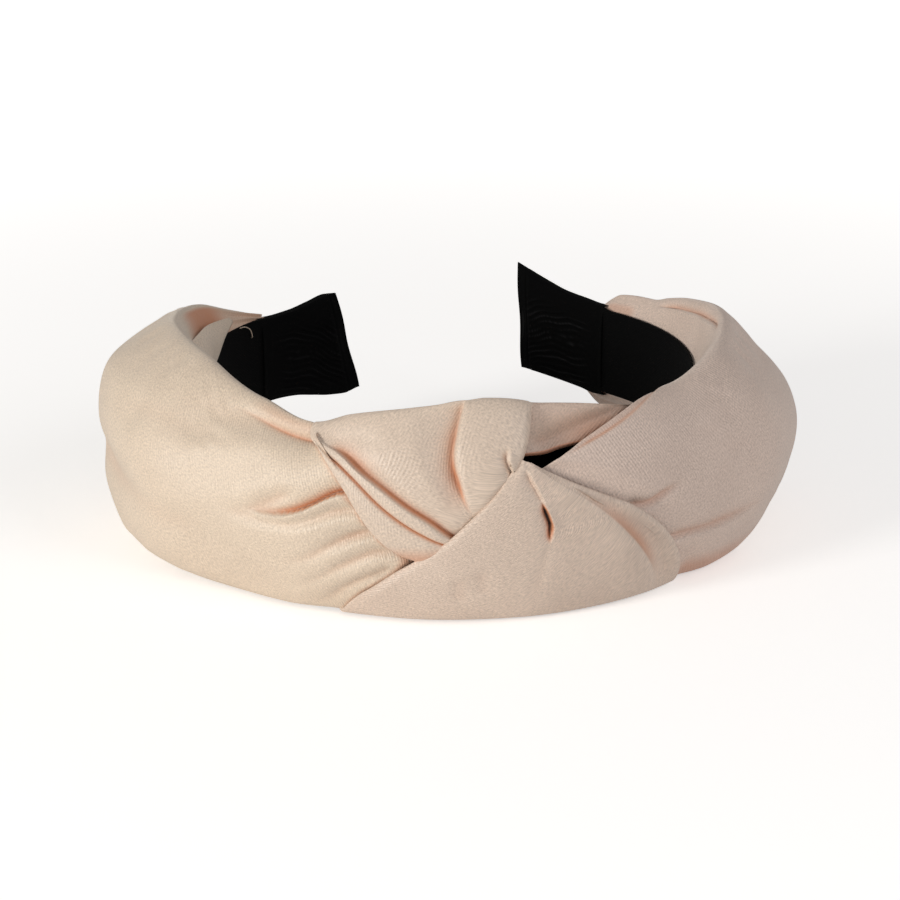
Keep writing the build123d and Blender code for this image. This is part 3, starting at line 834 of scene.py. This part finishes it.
def pocket(side, tops, lows, ends, shine=.32):
    """Ribbed sleeve over a tip. tops and lows give its edges' height at each angle, and ends the
    angle of its sewn end at the upper and lower corner. shine is how strong the painted highlight on the
    ribs' crests is."""
    rows, around, first = 150, 220, 130.8
    rib_pitch, rib_height = 1.6, .20
    t = np.linspace(0, 1, rows)[:, None]
    w = np.linspace(0, 2 * pi, around, endpoint=False)[None, :]
    # c and q are how far out and how far up a point is on the section, a rounded rectangle
    c = np.sign(np.cos(w)) * np.abs(np.cos(w)) ** .32
    q = np.sign(np.sin(w)) * np.abs(np.sin(w)) ** .8
    end = ends[1] + (ends[0] - ends[1]) * (q + 1) / 2
    angle = first + (end - first) * t
    top, low = level_curve(tops, angle), level_curve(lows, angle)
    pinch = ramp(t, .86, 1.0)
    thick = (2.15 * (1 - pinch) + .55 * pinch) + .25 * ramp(-t, -.06, 0)
    middle = 59.45 + .5 * pinch * np.sin(q * 5 + t * 2)
    up = (top - low) / 2 * q
    wander = .35 * np.sin(t * 9 + q * 3) + .25 * np.sin(t * 17 - q * 5)
    slant = (.12 + .25 * ramp(angle, 144, 154)) * (angle - 144) * ALONG
    wave = np.sin(2 * pi * (up + wander + slant) / rib_pitch)
    where = ramp(t, .12, .34) * (1 - ramp(t, .84, .92)) * (1 - ramp(up, 5, 8)) * (1 - ramp(-up, 9.5, 11))
    # Painted highlight on the rib crests.
    crest_highlight = shine * np.clip(wave, 0, 1) ** 6 * where * (.55 + .45 * np.sin(5 * t + 1.3 * up)) * (c < 0)
    seam = .28 * np.exp(-((t - .90) / .012) ** 2)
    radius = middle + c * (thick + rib_height * wave * where - seam)
    p = polar(radius, angle * SIGN[side], (top + low) / 2 + up)
    uv = np.stack(np.broadcast_arrays(up, angle * ALONG), -1)
    # The sewn end is closed by drawing its last ring together across the thickness
    mirror = p[-1:, (around // 2 - np.arange(around)) % around]
    p = np.concatenate([p, (p[-1:] + mirror) / 2])
    uv = np.concatenate([uv, uv[-1:]])
    crest_highlight = np.concatenate([crest_highlight, 0 * crest_highlight[-1:]])
    return mesh(f"pocket_{side}_knit", p, uv, KNIT, crest_highlight, around=True)


upper, tail, lower = upper_wrap(), upper_wrap_tail(), lower_wrap()
left, right = left_wing(), right_wing()
tongue = left_tongue()
left_bridge, right_bridge = lining_bridge("left"), lining_bridge("right")
thread_end = thread_run(
    "left_thread_end",
    [(-120.6, 57.1, 38.6), (-122.5, 56.6, 38.5), (-124.6, 56.5, 37.3), (-126, 56.9, 35.2),
     (-126.2, 57.4, 34.6)],
    radius=.13)
right_pocket = pocket(
    "right",
    [(130, 39.3), (133, 39.2), (138, 39.9), (141.5, 40.5), (144, 41.1), (148.4, 42.9), (152.7, 45.0),
     (156.5, 47.2)],
    [(130, 15.4), (134, 15.3), (138, 16.0), (144, 17.0), (148.4, 17.8), (152.7, 18.6), (156.5, 19.0)],
    (156.6, 155.2))
left_pocket = pocket(
    "left",
    [(130, 38.3), (137.5, 37.6), (143, 37.9), (148.3, 39.0), (153.5, 40.3), (156.5, 40.2), (163, 40)],
    [(130, 15.8), (137, 15.6), (143, 15.1), (148.3, 14.1), (153.5, 13.2), (157.4, 13.0), (162, 14.0)],
    (156.2, 162.2), shine=.15)


for piece in (upper, tail, lower):
    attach(piece, "crown")
for piece, body in ((thread_end, "left_arm"), (tongue, "left_arm"), (left_pocket, "left_arm"),
                    (right_pocket, "right_arm")):
    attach(piece, body)
for piece, side in ((left, "left"), (right, "right"), (left_bridge, "left"), (right_bridge, "right")):
    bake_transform(piece)

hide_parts("end_pocket_right")
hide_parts("end_pocket_left")
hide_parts("knot_upper_wrap")
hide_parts("knot_lower_wrap")
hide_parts("left_wing", "left_wing_root")
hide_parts("right_wing", "right_wing_root")

# Materials of the CAD nodes that stay in view, by a word in each node's name
CAD_LOOKS = {"lining": RIBBON, "cover": RIBBON, "core": PLASTIC, "stitches": BLACK_THREAD,
             "tack": BEIGE_THREAD}
for obj in list(bpy.context.scene.objects):
    if obj.type == "MESH" and "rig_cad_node" in obj and not obj.hide_render:
        look = next(CAD_LOOKS[word] for word in obj.name.split("_") if word in CAD_LOOKS)
        obj.data.materials.clear()
        obj.data.materials.append(look)


# ---------------------------------------------------------------------------------------------
# Studio: a pale floor, soft light from the left, and the camera
def direction(azimuth, elevation):
    """Unit vector towards a point seen at an azimuth, from the front, and an elevation."""
    a, e = radians(azimuth), radians(elevation)
    return Vector((sin(a) * cos(e), -cos(a) * cos(e), sin(e)))


def link(obj):
    bpy.context.scene.collection.objects.link(obj)
    return obj


def pale_floor():
    """Floor that the camera sees glow more away from the part, as a lit paper sweep does."""
    material, tree, surface = new_material("pale_floor")
    away = numbered(tree, node(tree, "VectorMath", operation="LENGTH"), in_object(tree))
    glow = node(tree, "MapRange", interpolation_type="SMOOTHSTEP", Value=away.outputs["Value"], From_Min=.09,
                From_Max=.9, To_Min=.40, To_Max=.86).outputs[0]
    seen = node(tree, "LightPath").outputs["Is Camera Ray"]
    put(tree, surface, Base_Color=(.93, .92, .91, 1), Emission_Color=(1, .99, .98, 1), Roughness=.8,
        Specular_IOR_Level=.1, Emission_Strength=arithmetic(tree, "MULTIPLY_ADD", seen, glow, .05))
    half = 6.0  # metres
    corners = [(-half, -half, 0), (half, -half, 0), (half, half, 0), (-half, half, 0)]
    me = bpy.data.meshes.new("floor")
    me.from_pydata(corners, [], [(0, 1, 2, 3)])
    me.materials.append(material)
    link(bpy.data.objects.new("floor", me))


def studio_world():
    """White backdrop that lights the part less than it shows."""
    world = bpy.data.worlds.new("studio")
    bpy.context.scene.world = world
    world.use_nodes = True
    tree = world.node_tree
    seen = node(tree, "LightPath").outputs["Is Camera Ray"]
    strength = node(tree, "MapRange", Value=seen, To_Min=.33, To_Max=1.25).outputs[0]
    put(tree, tree.nodes["Background"], Color=(1, .99, .98, 1), Strength=strength)


def softbox(name, azimuth, elevation, distance, size, power, colour):
    """Round soft light that faces the part."""
    light = bpy.data.lights.new(name, "AREA")
    light.shape = "DISK"
    light.size = size
    light.energy = power
    light.color = colour
    obj = link(bpy.data.objects.new(name, light))
    part = Vector((0, 0, .02))
    obj.location = direction(azimuth, elevation) * distance + part
    obj.rotation_mode = "QUATERNION"
    obj.rotation_quaternion = (part - obj.location).to_track_quat("-Z", "Y")


def camera():
    """Camera at the photograph's angle, turned a little so that the part sits where it does there."""
    lens = bpy.data.cameras.new("camera")
    lens.sensor_width = 36.0
    lens.lens = 89.6
    lens.clip_start = .02
    lens.clip_end = 20
    obj = link(bpy.data.objects.new("camera", lens))
    bpy.context.scene.camera = obj
    back = direction(-5.5, 18)
    obj.location = Vector((0, .0103, .025)) + back * .54
    side = (-back).cross(Vector((0, 0, 1))).normalized()
    up = side.cross(-back)
    aim = -back + side * .00134 - up * .01875
    obj.rotation_mode = "QUATERNION"
    obj.rotation_quaternion = aim.to_track_quat("-Z", "Y")


pale_floor()
studio_world()
softbox("key", -57, 12, 1.2, .32, 8.4, (1, .985, .94))
softbox("fill", 48, 30, 1.4, .9, 4.3, (.98, .97, 1))
camera()
bpy.context.scene.view_settings.view_transform = "Standard"

bpy.context.view_layer.update()
